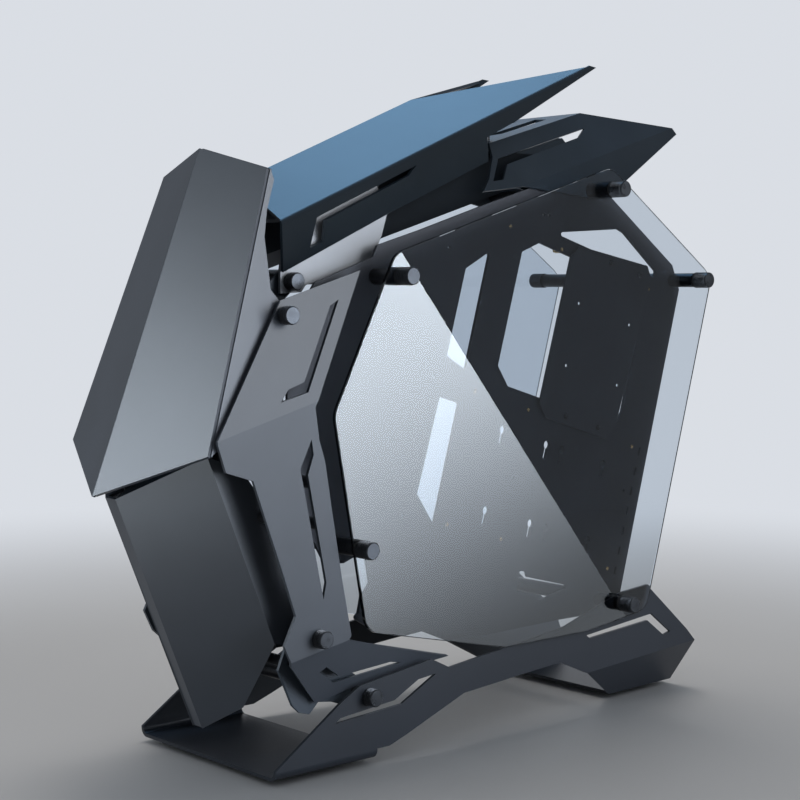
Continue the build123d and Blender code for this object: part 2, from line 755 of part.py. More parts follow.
# A lip is folded in square to each cheek along its top edge.
lip_run = (point(edge_top) - point(NOSE_TOP)).normalized()
lip_depth = cheek_plane.z_dir * -LOWER_LIP_DEPTH
lip_start = point(NOSE_TOP) + lip_run * LOWER_LIP_RELIEF
lip_end = point(edge_top) - lip_run * LOWER_LIP_RELIEF
lip_corners = [
    tuple(corner)
    for corner in (
        lip_start,
        lip_end,
        lip_end + lip_depth - lip_run * LOWER_LIP_MITRE,
        lip_start + lip_depth + lip_run * LOWER_LIP_MITRE,
    )
]
lip_plane = facet_plane(*lip_corners[:3], OUT_TOP)
with BuildPart() as lower_front_panel:
    cheek = [NOSE_TOP, edge_top, edge_bottom, *LOWER_CHIN, NOSE_BOTTOM]
    blank = face_on(cheek_plane, local(cheek_plane, cheek), 0)
    extrude(blank, amount=SHEET, dir=cheek_plane.z_dir * -1)
    blank = face_on(lip_plane, local(lip_plane, lip_corners), 0)
    extrude(blank, amount=SHEET, dir=lip_plane.z_dir * -1)
    flange = [LOWER_EDGE_TOP, LOWER_EDGE_BOTTOM, *LOWER_FLANGE_REAR]
    extrude(face_on(side_plane(PANEL_FLANGE_FACE), flange, 0), amount=SHEET, dir=INWARD)
    with BuildSketch(side_plane(0)):
        with Locations(LOWER_SIDE_FIXING):
            Circle(ROD_HOLE / 2)
        with Locations(PANEL_SPACER):
            Circle(SMALL_HOLE_DIAMETER / 2)
    extrude(amount=THROUGH, mode=Mode.SUBTRACT)
    mirror(about=Plane.YZ)
    nose = [NOSE_TOP, nose_mirror, nose_foot_mirror, NOSE_BOTTOM]
    blank = face_on(nose_plane, local(nose_plane, nose), 0)
    extrude(blank, amount=SHEET, dir=nose_plane.z_dir * -1)
lower_front_panel.part.label = "lower_front_panel"
export_step(lower_front_panel.part, "parts/lower_front_panel.step")

# Top cover.
roof_plane = facet_plane(COVER_RIDGE_FRONT, COVER_FOLD_FRONT, COVER_FOLD_REAR, OUT_TOP)
skirt_plane = facet_plane(COVER_FOLD_FRONT, COVER_FOLD_REAR, COVER_FLANGE_FRONT, OUT_RIGHT)
with BuildPart() as top_cover:
    roof = [COVER_RIDGE_FRONT, COVER_FOLD_FRONT, COVER_FOLD_REAR, COVER_NOTCH]
    blank = face_on(roof_plane, local(roof_plane, roof), 0)
    extrude(blank, amount=SHEET, dir=roof_plane.z_dir * -1)
    skirt = [COVER_FLANGE_FRONT, COVER_FOLD_FRONT, COVER_FOLD_REAR, *COVER_FLANGE_EDGE]
    blank = face_on(skirt_plane, local(skirt_plane, skirt), 0)
    extrude(blank, amount=SHEET, dir=skirt_plane.z_dir * -1)
    fillet(along(top_cover.edges(), COVER_FOLD_FRONT, COVER_FOLD_REAR), BEND_RADIUS)
    cut = face_on(skirt_plane, local(skirt_plane, lifted(skirt_plane, COVER_SLOT)), 0)
    extrude(cut, amount=SHEET * 2, both=True, dir=skirt_plane.z_dir, mode=Mode.SUBTRACT)
    mirror(about=Plane.YZ)
top_cover.part.label = "top_cover"
export_step(top_cover.part, "parts/top_cover.step")

# Top bracket.
web_top = facet_plane(
    (TAB_FACE, BRACKET_WEB_Y[0], BRACKET_WEB_Z[0]),
    (TAB_FACE, BRACKET_WEB_Y[1], BRACKET_WEB_Z[1]),
    (-TAB_FACE, BRACKET_WEB_Y[0], BRACKET_WEB_Z[0]),
    OUT_TOP,
)
with BuildPart() as top_bracket:
    extrude(face_on(side_plane(TAB_FACE), TAB_OUTLINE, 0), amount=SHEET, dir=INWARD)
    with BuildSketch(side_plane(0)):
        with Locations(TAB_FIXING):
            Circle(STUD_HOLE / 2)
    extrude(amount=THROUGH, mode=Mode.SUBTRACT)
    mirror(about=Plane.YZ)
    web = [
        (side * TAB_FACE, y, z)
        for side, y, z in (
            (1, BRACKET_WEB_Y[0], BRACKET_WEB_Z[0]),
            (1, BRACKET_WEB_Y[1], BRACKET_WEB_Z[1]),
            (-1, BRACKET_WEB_Y[1], BRACKET_WEB_Z[1]),
            (-1, BRACKET_WEB_Y[0], BRACKET_WEB_Z[0]),
        )
    ]
    blank = face_on(web_top, local(web_top, web), 0)
    extrude(blank, amount=SHEET, dir=web_top.z_dir * -1)
top_bracket.part.label = "top_bracket"
export_step(top_bracket.part, "parts/top_bracket.step")

# Rails from the top bracket's tabs to the rear top post.
with BuildPart() as top_rails:
    extrude(face_on(side_plane(RAIL_FACE), RAIL_OUTLINE), amount=SHEET, dir=INWARD)
    with BuildSketch(body_plane(0)):
        with Locations(REAR_TOP_FIXING):
            Circle(ROD_HOLE / 2)
    extrude(amount=THROUGH, mode=Mode.SUBTRACT)
    mirror(about=Plane.YZ)
top_rails.part.label = "top_rails"
export_step(top_rails.part, "parts/top_rails.step")

# Rear wing.
wing_plane = facet_plane(
    (WING_FOLD_X, *WING_FOLD_FRONT),
    (WING_FOLD_X, *WING_FOLD_REAR),
    (WING_TOP_X, *WING_TOP_REAR),
    OUT_RIGHT,
)
wing_top_corners = lifted(wing_plane, [WING_TOP_FRONT, WING_TOP_REAR])
wing_front, wing_rear = wing_top_corners
deck_plane = facet_plane(wing_front, wing_rear, (-wing_front[0], *wing_front[1:]), OUT_TOP)
with BuildPart() as rear_wing:
    cheek = [WING_FOLD_FRONT, WING_FOLD_REAR, WING_TIP, *WING_LOWER]
    extrude(face_on(side_plane(WING_FOLD_X), cheek, 0), amount=SHEET, dir=INWARD)
    upper = [
        WING_FRONT_FOOT,
        WING_FOLD_FRONT,
        WING_FOLD_REAR,
        WING_TOP_REAR,
        WING_TOP_FRONT,
        *WING_FRONT_EDGE,
    ]
    blank = face_on(wing_plane, local(wing_plane, lifted(wing_plane, upper)), 0)
    extrude(blank, amount=SHEET, dir=wing_plane.z_dir * -1)
    cut = face_on(wing_plane, local(wing_plane, lifted(wing_plane, WING_SLOT)), 0)
    extrude(cut, amount=SHEET * 2, both=True, dir=wing_plane.z_dir, mode=Mode.SUBTRACT)
    with BuildSketch(body_plane(0)):
        with Locations(REAR_TOP_FIXING):
            Circle(ROD_HOLE / 2)
    extrude(amount=THROUGH, mode=Mode.SUBTRACT)
    mirror(about=Plane.YZ)
    deck = [
        wing_front,
        wing_rear,
        (-wing_rear[0], *wing_rear[1:]),
        (-wing_front[0], *wing_front[1:]),
    ]
    blank = face_on(deck_plane, local(deck_plane, deck), 0)
    extrude(blank, amount=SHEET, dir=deck_plane.z_dir * -1)
    for side in (1, -1):
        with BuildSketch(Plane.XY):
            Polygon(*[(side * x, y) for x, y in WING_TOP_OPENING], align=None)
        extrude(amount=2 * THROUGH, mode=Mode.SUBTRACT)
rear_wing.part.label = "rear_wing"
export_step(rear_wing.part, "parts/rear_wing.step")

# Base frame.
rear_face_plane = facet_plane(
    (FOOT_FACE, *REAR_FACE_FRONT),
    (FOOT_FACE, *REAR_FACE_REAR),
    (FOOT_BASE_X, REAR_BASE_FRONT_Y, BASE_UNDERSIDE),
    OUT_RIGHT,
)


def rear_foot_x(y):
    """Where the slanted rear foot face meets the base plate."""
    return lifted(rear_face_plane, [(y, BASE_UNDERSIDE)])[0][0]


rear_front_x = rear_foot_x(REAR_BASE_FRONT_Y)
rear_back_x = rear_foot_x(REAR_BASE_REAR_Y)
with BuildPart() as base_frame:
    extrude(face_on(side_plane(FOOT_FACE), FOOT_WALL, 0), amount=SHEET, dir=INWARD)
    slanted = [
        (FOOT_FACE, *REAR_FACE_FRONT),
        (FOOT_FACE, *REAR_FACE_REAR),
        (rear_back_x, REAR_BASE_REAR_Y, BASE_UNDERSIDE),
        (rear_front_x, REAR_BASE_FRONT_Y, BASE_UNDERSIDE),
    ]
    blank = face_on(rear_face_plane, local(rear_face_plane, slanted), 0)
    extrude(blank, amount=SHEET, dir=rear_face_plane.z_dir * -1)
    for slot in (FOOT_FRONT_SLOT, FOOT_REAR_SLOT):
        cut = face_on(side_plane(FOOT_FACE), slot, 0)
        extrude(cut, amount=SHEET, dir=INWARD, mode=Mode.SUBTRACT)
    with BuildSketch(side_plane(0)):
        with Locations(FOOT_FIXING):
            Circle(STUD_HOLE / 2)
    extrude(amount=THROUGH, mode=Mode.SUBTRACT)
    with BuildSketch(body_plane(0)):
        with Locations(REAR_BOTTOM_FIXING):
            Circle(ROD_HOLE / 2)
    extrude(amount=THROUGH, mode=Mode.SUBTRACT)
    mirror(about=Plane.YZ)
    with BuildSketch(Plane.XY.offset(BASE_UNDERSIDE)):
        Polygon(
            (rear_front_x, REAR_BASE_FRONT_Y),
            (rear_back_x, REAR_BASE_REAR_Y),
            (-rear_back_x, REAR_BASE_REAR_Y),
            (-rear_front_x, REAR_BASE_FRONT_Y),
            align=None,
        )
    extrude(amount=SHEET)
    front, back = FRONT_BASE_Y
    band_plane = Plane.XZ.offset(-front)
    band = FRONT_BAND_TOP - BASE_UNDERSIDE
    with BuildSketch(band_plane) as section:
        with Locations((0, BASE_UNDERSIDE + band / 2)):
            Rectangle(2 * FOOT_FACE, band)
        fillet(section.vertices().group_by(Axis.Y)[0], BASE_BEND_RADIUS)
        with BuildSketch(mode=Mode.SUBTRACT) as hollow:
            with Locations((0, BASE_UNDERSIDE + SHEET + band / 2)):
                Rectangle(2 * FOOT_INNER, band)
            fillet(hollow.vertices().group_by(Axis.Y)[0], BASE_BEND_RADIUS - SHEET)
    extrude(amount=front - back)
base_frame.part.label = "base_frame"
export_step(base_frame.part, "parts/base_frame.step")

with BuildPart() as rubber_feet:
    with BuildSketch(Plane.XY):
        with Locations(*PAD_POINTS):
            Circle(PAD_DIAMETER / 2)
    extrude(amount=BASE_UNDERSIDE)
    mirror(about=Plane.YZ)
rubber_feet.part.label = "rubber_feet"
export_step(rubber_feet.part, "parts/rubber_feet.step")

# Cross rods and their knobs.
upper_hole = lifted(upper_plane, [UPPER_SIDE_FIXING])[0][0]
lean = abs(upper_plane.z_dir.Z) * POST_DIAMETER / 2
UPPER_ROD_END = upper_hole - SHEET / upper_plane.z_dir.X - lean - SEAT_GAP
ROD_ENDS = (
    (TAB_FIXING, TAB_INNER, TAB_FACE),
    (UPPER_SIDE_FIXING, UPPER_ROD_END, upper_hole + lean),
    (LOWER_SIDE_FIXING, SIDE_INNER, SIDE_FACE),
    (FOOT_FIXING, FOOT_INNER, FOOT_FACE),
)
with BuildPart() as cross_rods:
    for fixing, rod_end, _ in ROD_ENDS:
        with BuildSketch(side_plane(0)):
            with Locations(fixing):
                Circle(POST_DIAMETER / 2)
        extrude(amount=rod_end, both=True)
        for side in (1, -1):
            with BuildSketch(side_plane(side * rod_end)):
                with Locations(fixing):
                    Circle(STUD_HOLE / 2)
            extrude(amount=-side * (STUD_BORE_DEPTH + SHEET), mode=Mode.SUBTRACT)
cross_rods.part.label = "cross_rods"
export_step(cross_rods.part, "parts/cross_rods.step")

with BuildPart() as frame_knobs:
    for fixing, rod_end, seat in ROD_ENDS:
        with BuildSketch(side_plane(seat + SEAT_GAP)):
            with Locations(fixing):
                Circle(KNOB_DIAMETER / 2)
        extrude(amount=FRAME_KNOB_LENGTH)
        knob_face = frame_knobs.faces(Select.LAST).sort_by(Axis.X)[-1]
        chamfer(knob_face.edges(), KNOB_CHAMFER)
        with BuildSketch(side_plane(seat + SEAT_GAP)):
            with Locations(fixing):
                Circle(STUD_DIAMETER / 2)
        extrude(amount=-(seat + SEAT_GAP - rod_end + STUD_REACH))
    mirror(about=Plane.YZ)
frame_knobs.part.label = "frame_knobs"
export_step(frame_knobs.part, "parts/frame_knobs.step")

# Links between rods.
with BuildPart() as foot_links:
    extrude(face_on(side_plane(LINK_FACE), LINK_OUTLINE, 0), amount=SHEET, dir=INWARD)
    with BuildSketch(side_plane(0)):
        with Locations(LOWER_SIDE_FIXING, FOOT_FIXING):
            Circle(ROD_HOLE / 2)
        with Locations(STAY_BAR_POINT):
            Circle(STUD_HOLE / 2)
    extrude(amount=THROUGH, mode=Mode.SUBTRACT)
    mirror(about=Plane.YZ)
foot_links.part.label = "foot_links"
export_step(foot_links.part, "parts/foot_links.step")

with BuildPart() as stay_bar:
    with BuildSketch(side_plane(0)):
        with Locations(STAY_BAR_POINT):
            Circle(STAY_BAR_DIAMETER / 2)
    extrude(amount=LINK_FACE - SHEET, both=True)
stay_bar.part.label = "stay_bar"
export_step(stay_bar.part, "parts/stay_bar.step")

with BuildPart() as rod_links:
    with BuildSketch(side_plane(ROD_LINK_FACE)):
        with Locations(TAB_FIXING, UPPER_SIDE_FIXING):
            Circle(ROD_HOLE / 2 + ROD_LINK_RIM)
        make_hull()
        with Locations(TAB_FIXING, UPPER_SIDE_FIXING):
            Circle(ROD_HOLE / 2, mode=Mode.SUBTRACT)
    extrude(amount=-SHEET)
    mirror(about=Plane.YZ)
rod_links.part.label = "rod_links"
export_step(rod_links.part, "parts/rod_links.step")

# Fan bracket.
fan_top, fan_bend, fan_foot = FAN_WEB
web_lower_plane = facet_plane(
    (FAN_BRACKET_FACE, *fan_bend), (-FAN_BRACKET_FACE, *fan_bend), (FAN_BRACKET_FACE, *fan_foot),
    OUT_FRONT,
)
with BuildPart() as fan_bracket:
    with BuildSketch(side_plane(FAN_BRACKET_FACE)):
        Polygon(fan_top, fan_bend, fan_foot, *FAN_FLANGE_FRONT, align=None)
    extrude(amount=-BRACKET_SHEET)
    mirror(about=Plane.YZ)
    with BuildSketch(side_plane(-FAN_BRACKET_FACE)):
        Polygon(
            fan_top,
            fan_bend,
            fan_foot,
            (fan_foot[0] + BRACKET_SHEET, fan_foot[1]),
            (fan_bend[0] + BRACKET_SHEET, fan_bend[1]),
            (fan_top[0] + BRACKET_SHEET, fan_top[1]),
            align=None,
        )
    extrude(amount=2 * FAN_BRACKET_FACE)
    with BuildSketch(side_plane(0)):
        with Locations(UPPER_SIDE_FIXING, LOWER_SIDE_FIXING):
            Circle(ROD_HOLE / 2)
    extrude(amount=THROUGH, both=True, mode=Mode.SUBTRACT)
    with BuildSketch(Plane.XZ.offset(-fan_bend[0])):
        with Locations((0, fan_top[1] - FAN_UPPER_OPENING_BELOW_TOP)):
            Circle(FAN_UPPER_OPENING_DIAMETER / 2)
    extrude(amount=FAN_CUT_REACH, both=True, mode=Mode.SUBTRACT)
    fan_plane = Plane(
        origin=(0, (fan_bend[0] + fan_foot[0]) / 2, (fan_bend[1] + fan_foot[1]) / 2),
        x_dir=(1, 0, 0),
        z_dir=web_lower_plane.z_dir,
    )
    with BuildSketch(fan_plane):
        Circle(FAN_OPENING_DIAMETER / 2)
        with GridLocations(FAN_HOLE_PITCH, FAN_HOLE_PITCH, 2, 2):
            Circle(FAN_HOLE_DIAMETER / 2)
    extrude(amount=FAN_CUT_REACH, both=True, mode=Mode.SUBTRACT)
fan_bracket.part.label = "fan_bracket"
export_step(fan_bracket.part, "parts/fan_bracket.step")

# Spacers.
with BuildPart() as tray_spacers:
    with BuildSketch(side_plane(TRAY_FACE)):
        with Locations(*TRAY_SPACER_POINTS):
            Circle(SPACER_DIAMETER / 2)
    extrude(amount=SIDE_INNER - TRAY_FACE)
tray_spacers.part.label = "tray_spacers"
export_step(tray_spacers.part, "parts/tray_spacers.step")

with BuildPart() as panel_spacers:
    with BuildSketch(side_plane(PANEL_FLANGE_FACE)):
        with Locations(PANEL_SPACER):
            Circle(SPACER_DIAMETER / 2)
    extrude(amount=SIDE_INNER - PANEL_FLANGE_FACE)
    mirror(about=Plane.YZ)
panel_spacers.part.label = "panel_spacers"
export_step(panel_spacers.part, "parts/panel_spacers.step")

with BuildPart() as cover_posts:
    x, y = COVER_POST_POINT
    with BuildSketch(Plane.XY.offset(COVER_RIDGE_FRONT[2])):
        with Locations((x, y)):
            Circle(COVER_POST_DIAMETER / 2)
    extrude(amount=THROUGH)
    split(bisect_by=roof_plane.offset(-(SHEET + SEAT_GAP)), keep=Keep.BOTTOM)
    split(bisect_by=deck_plane.offset(SEAT_GAP), keep=Keep.TOP)
    mirror(about=Plane.YZ)
cover_posts.part.label = "cover_posts"
export_step(cover_posts.part, "parts/cover_posts.step")

# Board standoffs, with a stem pressed through the tray.
with BuildPart() as motherboard_standoffs:
    with BuildSketch(body_plane(TRAY_BACK)):
        with Locations(*BOARD_HOLES):
            RegularPolygon(BOARD_STANDOFF_WIDTH / 2, 6, major_radius=False)
            Circle(BOARD_THREAD_DIAMETER / 2, mode=Mode.SUBTRACT)
    extrude(amount=-BOARD_STANDOFF_HEIGHT)
    with BuildSketch(body_plane(TRAY_BACK)):
        with Locations(*BOARD_HOLES):
            Circle(BOARD_HOLE_DIAMETER / 2 - STUD_CLEARANCE)
    extrude(amount=SHEET)
motherboard_standoffs.part.label = "motherboard_standoffs"
export_step(motherboard_standoffs.part, "parts/motherboard_standoffs.step")

# Expansion bracket and covers.
slot_plate_top = SLOT_FIRST_Q + SLOT_PITCH
slot_plate_bottom = SLOT_FIRST_Q - (SLOT_COUNT - 1) * SLOT_PITCH - SLOT_PLATE_END
SLOT_CENTRE_Q = (slot_plate_top + slot_plate_bottom) / 2
tilt = radians(BODY_TILT)
rear_axis = Vector(0, cos(tilt), -sin(tilt))
up_axis = Vector(0, sin(tilt), cos(tilt))
board_origin = Vector(0, BOARD_Y, BOARD_Z)


def card_plane(p):
    """The plane square to the board at p, local x towards -X, local y upwards."""
    origin = board_origin + rear_axis * p + Vector(TRAY_BACK, 0, 0)
    return Plane(origin=origin, x_dir=(-1, 0, 0), z_dir=rear_axis)


with BuildPart() as expansion_bracket:
    with BuildSketch(card_plane(SLOT_PLATE_P)):
        with Locations((SLOT_PLATE_WIDTH / 2, SLOT_CENTRE_Q)):
            Rectangle(SLOT_PLATE_WIDTH, slot_plate_top - slot_plate_bottom)
        for index in range(SLOT_COUNT):
            with Locations(
                (SLOT_OPENING_START + SLOT_OPENING[1] / 2, SLOT_FIRST_Q - index * SLOT_PITCH)
            ):
                Rectangle(SLOT_OPENING[1], SLOT_OPENING[0], mode=Mode.SUBTRACT)
    extrude(amount=-BRACKET_SHEET)
    with BuildSketch(body_plane(TRAY_BACK)):
        with Locations((SLOT_PLATE_P - SLOT_FOOT_WIDTH / 2, SLOT_CENTRE_Q)):
            Rectangle(SLOT_FOOT_WIDTH, slot_plate_top - slot_plate_bottom)
        with Locations(*BOARD_HOLES):
            Circle(BOARD_STANDOFF_WIDTH, mode=Mode.SUBTRACT)
    extrude(amount=-BRACKET_SHEET)
expansion_bracket.part.label = "expansion_bracket"
export_step(expansion_bracket.part, "parts/expansion_bracket.step")

with BuildPart() as slot_covers:
    with BuildSketch(card_plane(SLOT_PLATE_P)):
        for index in range(SLOT_COUNT):
            with Locations(
                (SLOT_OPENING_START + SLOT_OPENING[1] / 2, SLOT_FIRST_Q - index * SLOT_PITCH)
            ):
                Rectangle(SLOT_COVER_SIZE[1], SLOT_COVER_SIZE[0])
    extrude(amount=SLOT_COVER_THICKNESS)
slot_covers.part.label = "slot_covers"
export_step(slot_covers.part, "parts/slot_covers.step")

# Power supply bracket.
psu_origin = board_origin + up_axis * PSU_PLATE_Q + Vector(TRAY_BACK, 0, 0)
psu_plane = Plane(origin=psu_origin, x_dir=rear_axis, z_dir=up_axis)
psu_front, psu_back = PSU_PLATE_P
psu_middle = (psu_front + psu_back) / 2
psu_length = psu_back - psu_front
psu_opening = (
    psu_length - 2 * PSU_EDGE_TO_OPENING[0],
    PSU_PLATE_WIDTH - 2 * PSU_EDGE_TO_OPENING[1],
)
hole_p = psu_length / 2 - PSU_EDGE_TO_HOLE[0]
hole_x = PSU_PLATE_WIDTH / 2 - PSU_EDGE_TO_HOLE[1]
psu_holes = [
    (-hole_p, -hole_x),
    (hole_p, -hole_x),
    (hole_p, hole_x),
    (PSU_HOLE_STEP - hole_p, hole_x),
]
with BuildPart() as psu_bracket:
    with BuildSketch(psu_plane):
        with Locations((psu_middle, PSU_PLATE_WIDTH / 2)):
            Rectangle(psu_length, PSU_PLATE_WIDTH)
            Rectangle(*psu_opening, mode=Mode.SUBTRACT)
            with Locations(*psu_holes):
                Circle(PSU_HOLE_DIAMETER / 2, mode=Mode.SUBTRACT)
    extrude(amount=-BRACKET_SHEET)
    with BuildSketch(body_plane(TRAY_BACK)):
        with Locations((psu_middle, PSU_PLATE_Q - PSU_FLANGE_HEIGHT / 2)):
            Rectangle(psu_length, PSU_FLANGE_HEIGHT)
        with Locations(GLASS_FIXINGS[3]):
            Circle(POST_DIAMETER / 2 + PSU_POST_CLEARANCE, mode=Mode.SUBTRACT)
    extrude(amount=-BRACKET_SHEET)
psu_bracket.part.label = "psu_bracket"
export_step(psu_bracket.part, "parts/psu_bracket.step")
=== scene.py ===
"""Looks of the open-frame tower computer case: materials, screws, floor, light and camera."""

import math

import bmesh
import bpy
from mathutils import Matrix, Vector


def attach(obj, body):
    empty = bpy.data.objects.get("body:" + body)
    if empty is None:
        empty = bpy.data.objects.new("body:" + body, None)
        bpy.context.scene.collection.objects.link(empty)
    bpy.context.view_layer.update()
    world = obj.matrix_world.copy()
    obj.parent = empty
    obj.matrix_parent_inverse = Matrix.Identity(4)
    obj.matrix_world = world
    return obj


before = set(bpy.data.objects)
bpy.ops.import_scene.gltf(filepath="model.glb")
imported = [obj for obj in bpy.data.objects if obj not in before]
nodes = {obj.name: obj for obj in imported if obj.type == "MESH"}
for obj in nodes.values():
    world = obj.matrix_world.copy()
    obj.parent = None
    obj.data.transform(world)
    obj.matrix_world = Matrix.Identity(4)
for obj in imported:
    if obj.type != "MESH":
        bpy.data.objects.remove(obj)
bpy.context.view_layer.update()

# The camera stands to the front right of the case, a little above its middle.
CAMERA_PLACE = (1.189, -1.04795, 0.41092)
CAMERA_TURN = (86.17, 0.0, 48.49)
CAMERA_LENS = 76.34
CAMERA_SENSOR = 36.0

# The board plane leans back by this angle about its top rear hole.
BODY_TILT = math.radians(16.5)
BOARD_Y = 0.292
BOARD_Z = 0.402

# Edges of the cut sheet are broken by this much, which gives them their fine highlight.
EDGE_BREAK = 0.0003
EDGE_STEPS = 2
EDGE_ANGLE = math.radians(32)
WELD_DISTANCE = 0.00001
FLAT_FACE_WEIGHT = 100

# The middle range of a noise texture, which is carried onto shades and roughness.
NOISE_LOW = 0.3
NOISE_HIGH = 0.7

# Powder coat: soft clouds of shade, and a grain with the depth of its relief.
COAT_CLOUDS = 14.0
COAT_GRAIN = 2200.0
COAT_RELIEF = 0.00006
COAT_RELIEF_STRENGTH = 0.35
COAT_ROUGHNESS_SPREAD = 0.05

# Anodised skin: clouds, and turning marks that are drawn out round the axis.
SKIN_CLOUDS = 60.0
TURNING_MARKS = 420.0
TURNING_STRETCH = (9.0, 0.4, 0.4)
TURNING_RELIEF = 0.00005
SKIN_ROUGHNESS_SPREAD = 0.06

RUBBER_GRAIN = 900.0
RUBBER_RELIEF = 0.0001
BRASS_MARKS = 700.0
BRASS_RELIEF = 0.00004
GLASS_CLOUDS = 5.0
GLASS_IOR = 1.5

SATIN_BLACK = (0.030, 0.034, 0.041)
SATIN_TRAY = (0.040, 0.042, 0.049)
# The cover's coat is bluer than the other black because of painted blue light.
SATIN_COVER_PAINTED_BLUE = (0.032, 0.046, 0.060)
# The wing's coat is bluer and lighter than the other black because of painted light.
SATIN_WING_PAINTED_LIGHT = (0.055, 0.071, 0.089)
SATIN_PALE = (0.05, 0.055, 0.065)
SATIN_DEEP = (0.012, 0.014, 0.018)
BRACKET_PALE = (0.20, 0.205, 0.215)
INNER_BLACK = (0.028, 0.035, 0.044)
KNOB_BLACK = (0.045, 0.048, 0.053)
POST_BLACK = (0.03, 0.031, 0.034)
SPACER_BLACK = (0.035, 0.036, 0.038)
SCREW_BLACK = (0.03, 0.03, 0.032)
BRASS_YELLOW = (0.72, 0.5, 0.24)
GLASS_TINT = (0.74, 0.80, 0.86)
WASHER_BLACK = (0.02, 0.02, 0.021)
FOOT_BLACK = (0.022, 0.022, 0.023)

# A button-head screw with a hexagon socket: the head's radius and height, and the socket's
# width across flats and depth.
SCREW_RADIUS = 0.00285
SCREW_HEIGHT = 0.00165
SOCKET_FLATS = 0.002
SOCKET_DEPTH = 0.001
SCREW_STEPS = 36

# Places of the drive plate's screws on the board plane.
DRIVE_PLATE_FACE = 0.0785
DRIVE_SPACERS = [(-0.089, 0.007), (-0.045, 0.008), (-0.108, -0.152), (-0.060, -0.152)]

# One screw holds each of the card slots' covers.
SLOT_COVER_FACE = 0.016
SLOT_SCREW_X = -0.040
SLOT_FIRST_Q = -0.160
SLOT_PITCH = 0.02032
SLOT_COUNT = 7

# Fine ridges round the shank of each thumb knob, with a plain stretch at both ends.
KNOB_RADIUS = 0.0075
KNOB_REACH = 1.1 * KNOB_RADIUS
RIDGE_HEIGHT = 0.00022
RIDGE_FOOT = -0.0001
RIDGE_PITCH = 0.0013
RIDGE_STEPS = 64
PLAIN_RIDGES = 2
GLASS_KNOB_LENGTH = 0.016
FRAME_KNOB_LENGTH = 0.0105

# The glass knobs' places on the board plane, and the frame knobs' in y and z.
GLASS_FIXINGS = [
    (-0.371, -0.0915),
    (-0.136, 0.065),
    (0.0105, 0.019),
    (-0.349, -0.324),
    (-0.0045, -0.313),
]
FRAME_FIXINGS = [(-0.1715, 0.415), (-0.203, 0.3875), (-0.178, 0.12), (-0.1195, 0.061)]

# The background. In gloss it has full strength towards the wall and the room's share elsewhere.
# It grows between two cosines of the angle to the wall's direction.
SEEN_COLOR = (0.70, 0.73, 0.78, 1.0)
WALL_DIRECTION = (-0.747, 0.661, 0.0)
WALL_START = 0.80
WALL_FULL = 0.97
ROOM_SHARE = 0.25
FILL_COLOR = (0.80, 0.89, 1.0, 1.0)
FILL_STRENGTH = 0.42

# The floor, and the distances in metres between which it fades into the background.
FLOOR_HALF = 60.0
FLOOR_CLOUDS = 1.5
FLOOR_DARK = (0.57, 0.55, 0.53)
FLOOR_LIGHT = (0.60, 0.58, 0.56)
FLOOR_ROUGHNESS = 0.6
FADE_START = 0.45
FADE_END = 1.7

# Each soft light's size in metres, its radiance and its colour.
SOFT_LIGHTS = {
    "side_light": ((1.15, 0.9), 9.0, (0.78, 0.87, 1.0)),
    "glass_light": ((0.6, 0.34), 17.0, (0.81, 0.90, 1.0)),
    "upper_side_light": ((0.7, 0.6), 8.5, (0.93, 0.96, 1.0)),
    "overhead_light": ((1.2, 1.2), 3.6, (0.3, 0.62, 1.0)),
    "floor_light": ((1.2, 1.2), 3.0, (1.0, 0.97, 0.94)),
    "front_light": ((0.9, 0.9), 9.0, (0.79, 0.89, 1.0)),
    "low_front_light": ((0.4, 0.3), 2.5, (0.8, 0.9, 1.0)),
}

# The side lights stand on upright planes before the right glass, at these distances from it.
GLASS_MIDDLE = Vector((0.107, 0.1, 0.0))
SIDE_AWAY = Vector((0.685, 0.727, 0.0)).normalized()
SIDE_LEVEL = Vector((-SIDE_AWAY.y, SIDE_AWAY.x, 0.0))
SIDE_DISTANCE = 0.8
GLASS_LIGHT_DISTANCE = 0.3

# The slanted edge that the glass mirrors: its share along the level and its drop.
EDGE_ALONG = 0.527
EDGE_DROP = -0.850

# Where each side light is centred: along the level, and the height.
SIDE_CENTRE = (-0.5332, 0.1054)
GLASS_LIGHT_CENTRE = (-0.1974, 0.1576)
UPPER_SIDE_CENTRE = (-0.5, 0.86)

# Two lights fade along their width: where the fade starts and ends, and the share left there.
SIDE_FADE = (0.2, 1.0, 0.12)
GLASS_LIGHT_FADE = (0.1, 0.85, 0.055)

ROOF_PLACE = Vector((0.04, 0.0, 0.56))
OVERHEAD_OFFSET = 1.5 * Vector((-0.344, 0.2515, 0.904))
FRONT_PANEL_PLACE = Vector((0.05, -0.31, 0.27))
FRONT_OFFSET = 1.8 * Vector((-0.44, -0.80, 0.27))
LOW_FRONT_PLACE = (0.13, -0.66, 0.02)

# The side lights leave these nodes out.
SHADED_NODES = ["top_cover", "rear_wing", "top_rails", "right_glass"]


def make_camera():
    data = bpy.data.cameras.new("camera")
    data.lens = CAMERA_LENS
    data.sensor_width = CAMERA_SENSOR
    camera = bpy.data.objects.new("camera", data)
    camera.location = CAMERA_PLACE
    camera.rotation_euler = [math.radians(angle) for angle in CAMERA_TURN]
    bpy.context.scene.collection.objects.link(camera)
    bpy.context.scene.camera = camera


def new_material(name):
    """A material with its nodes, its shader and its object coordinates."""
    material = bpy.data.materials.new(name)
    material.use_nodes = True
    tree = material.node_tree
    shader = tree.nodes["Principled BSDF"]
    place = tree.nodes.new("ShaderNodeTexCoord")
    return material, tree, shader, place.outputs["Object"]


def noise(tree, place, scale, detail=2.0, roughness=0.5):
    node = tree.nodes.new("ShaderNodeTexNoise")
    node.inputs["Scale"].default_value = scale
    node.inputs["Detail"].default_value = detail
    node.inputs["Roughness"].default_value = roughness
    tree.links.new(place, node.inputs["Vector"])
    return node.outputs["Fac"]


